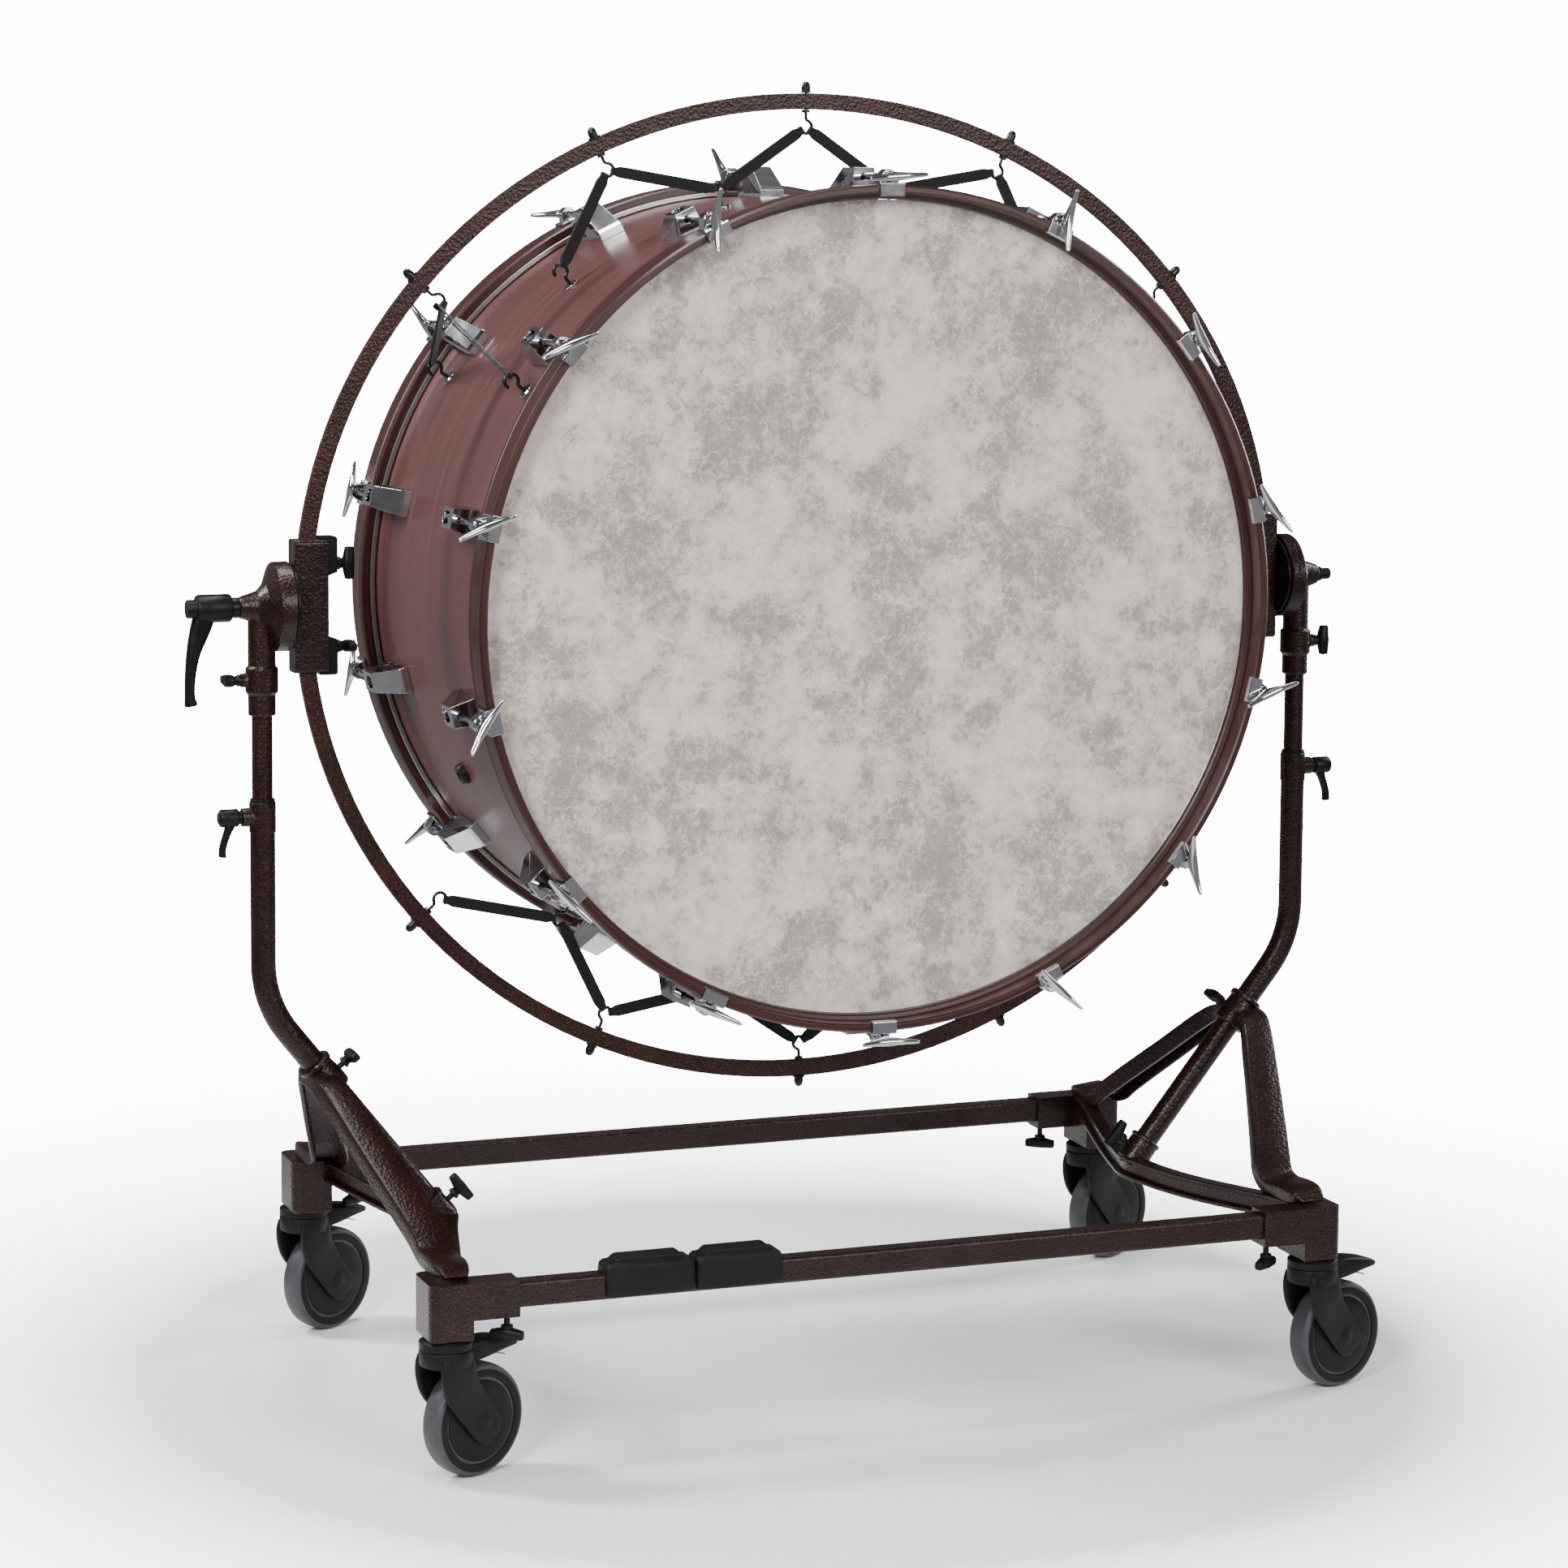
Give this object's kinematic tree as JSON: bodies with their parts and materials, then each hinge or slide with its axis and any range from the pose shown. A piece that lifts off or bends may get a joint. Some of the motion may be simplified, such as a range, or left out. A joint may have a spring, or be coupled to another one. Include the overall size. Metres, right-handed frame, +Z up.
{
  "type": "concert bass drum",
  "caption": "Concert bass drum hung by elastic straps in an oval ring, on a tilting, height-adjustable wheeled stand with braked swivel casters and clamp levers.",
  "frame": {"origin": "point on the floor below the middle of the overall box; the centre of the drum is 17 mm to its right and 14 mm in front of it", "axes": "+X along the tilt axis to the right as seen from the playing side, +Y from the playing head to the rear head, +Z up"},
  "size_m": [1.436, 0.6992, 1.5167],
  "materials": {
    "shell_wood": "satin",
    "hoop_wood": "satin",
    "head_film": "matte",
    "channel_metal": "satin",
    "chrome_plate": "gloss",
    "nut_brass": "satin",
    "black_steel": "satin",
    "webbing": "matte",
    "hammered_paint": "gloss",
    "black_plastic": "satin",
    "steel": "satin",
    "bush_plastic": "matte",
    "pad_rubber": "matte",
    "caster_plastic": "satin",
    "tyre_rubber": "matte"
  },
  "bodies": {
    "base": {"crossbars": "hammered_paint", "corner_sockets": "hammered_paint", "foot_pads": "pad_rubber", "corner_screws": "black_plastic", "end_casting_left": "hammered_paint", "end_casting_right": "hammered_paint", "socket_screws": "black_plastic", "outer_tube_left": "hammered_paint", "outer_tube_right": "hammered_paint", "tube_bushes": "bush_plastic", "caster_stems": "caster_plastic"},
    "height_carriage": {"inner_tubes": "hammered_paint", "collar_sockets": "hammered_paint", "collar_screws": "black_plastic", "tilt_head_left": "hammered_paint", "tilt_head_right": "hammered_paint"},
    "tilt_frame": {"ring": "hammered_paint", "ring_clamp_blocks": "hammered_paint", "clamp_lugs": "black_plastic", "clamp_screws": "black_plastic", "tilt_discs": "black_plastic", "tilt_axles": "steel", "axle_end_nut": "black_plastic", "ring_hooks": "black_steel", "hook_nuts": "black_steel", "straps": "webbing", "shell": "shell_wood", "front_head": "head_film", "rear_head": "head_film", "flesh_hoops": "channel_metal", "front_hoop": "hoop_wood", "rear_hoop": "hoop_wood", "lugs": "chrome_plate", "lug_screws": "steel", "swivel_nuts": "nut_brass", "claws": "chrome_plate", "tension_rods": "chrome_plate", "vent_grommet": "black_plastic", "shell_hooks": "black_steel", "shell_hook_bases": "chrome_plate"},
    "tilt_lever": {"tilt_lever": "black_plastic"},
    "column_lever_left": {"column_lever_left": "black_plastic"},
    "column_lever_right": {"column_lever_right": "black_plastic"},
    "caster_fl": {"caster_fork_fl": "caster_plastic"},
    "wheel_fl": {"wheel_hub_fl": "caster_plastic", "tyre_fl": "tyre_rubber"},
    "pedal_fl": {"brake_pedal_fl": "caster_plastic"},
    "caster_fr": {"caster_fork_fr": "caster_plastic"},
    "wheel_fr": {"wheel_hub_fr": "caster_plastic", "tyre_fr": "tyre_rubber"},
    "pedal_fr": {"brake_pedal_fr": "caster_plastic"},
    "caster_rl": {"caster_fork_rl": "caster_plastic"},
    "wheel_rl": {"wheel_hub_rl": "caster_plastic", "tyre_rl": "tyre_rubber"},
    "pedal_rl": {"brake_pedal_rl": "caster_plastic"},
    "caster_rr": {"caster_fork_rr": "caster_plastic"},
    "wheel_rr": {"wheel_hub_rr": "caster_plastic", "tyre_rr": "tyre_rubber"},
    "pedal_rr": {"brake_pedal_rr": "caster_plastic"}
  },
  "joints": [
    {"name": "height_slide", "type": "slide", "parent": "base", "child": "height_carriage", "axis": [0, 0, 1], "range_m": [-0.085, 0.05]},
    {"name": "drum_tilt", "type": "hinge", "parent": "height_carriage", "child": "tilt_frame", "pos_m": [0.017, -0.014, 0.925], "axis": [1, 0, 0], "continuous": true},
    {"name": "tilt_lever_turn", "type": "hinge", "parent": "tilt_frame", "child": "tilt_lever", "pos_m": [-0.683, -0.014, 0.925], "axis": [-1, 0, 0], "range_deg": [-90, 90]},
    {"name": "column_lever_left_turn", "type": "hinge", "parent": "base", "child": "column_lever_left", "pos_m": [-0.663, -0.014, 0.688], "axis": [-1, 0, 0], "range_deg": [-90, 90]},
    {"name": "column_lever_right_turn", "type": "hinge", "parent": "base", "child": "column_lever_right", "pos_m": [0.697, -0.014, 0.688], "axis": [1, 0, 0], "range_deg": [-90, 90]},
    {"name": "swivel_fl", "type": "hinge", "parent": "base", "child": "caster_fl", "pos_m": [-0.508, -0.32, 0.13], "axis": [0, 0, 1], "continuous": true},
    {"name": "wheel_spin_fl", "type": "hinge", "parent": "caster_fl", "child": "wheel_fl", "pos_m": [-0.47329, -0.30454, 0.0625], "axis": [-0.4067, 0.9135, 0], "continuous": true},
    {"name": "brake_fl", "type": "hinge", "parent": "caster_fl", "child": "pedal_fl", "pos_m": [-0.48607, -0.31024, 0.138], "axis": [-0.4067, 0.9135, 0], "range_deg": [0, 10]},
    {"name": "swivel_fr", "type": "hinge", "parent": "base", "child": "caster_fr", "pos_m": [0.542, -0.32, 0.13], "axis": [0, 0, 1], "continuous": true},
    {"name": "wheel_spin_fr", "type": "hinge", "parent": "caster_fr", "child": "wheel_fr", "pos_m": [0.57834, -0.30889, 0.0625], "axis": [-0.2924, 0.9563, 0], "continuous": true},
    {"name": "brake_fr", "type": "hinge", "parent": "caster_fr", "child": "pedal_fr", "pos_m": [0.56495, -0.31298, 0.138], "axis": [-0.2924, 0.9563, 0], "range_deg": [0, 10]},
    {"name": "swivel_rl", "type": "hinge", "parent": "base", "child": "caster_rl", "pos_m": [-0.508, 0.292, 0.13], "axis": [0, 0, 1], "continuous": true},
    {"name": "wheel_spin_rl", "type": "hinge", "parent": "caster_rl", "child": "wheel_rl", "pos_m": [-0.47445, 0.30984, 0.0625], "axis": [-0.4695, 0.8829, 0], "continuous": true},
    {"name": "brake_rl", "type": "hinge", "parent": "caster_rl", "child": "pedal_rl", "pos_m": [-0.48681, 0.30327, 0.138], "axis": [-0.4695, 0.8829, 0], "range_deg": [0, 10]},
    {"name": "swivel_rr", "type": "hinge", "parent": "base", "child": "caster_rr", "pos_m": [0.542, 0.292, 0.13], "axis": [0, 0, 1], "continuous": true},
    {"name": "wheel_spin_rr", "type": "hinge", "parent": "caster_rr", "child": "wheel_rr", "pos_m": [0.57723, 0.30623, 0.0625], "axis": [-0.3746, 0.9272, 0], "continuous": true},
    {"name": "brake_rr", "type": "hinge", "parent": "caster_rr", "child": "pedal_rr", "pos_m": [0.56425, 0.30099, 0.138], "axis": [-0.3746, 0.9272, 0], "range_deg": [0, 10]}
  ]
}
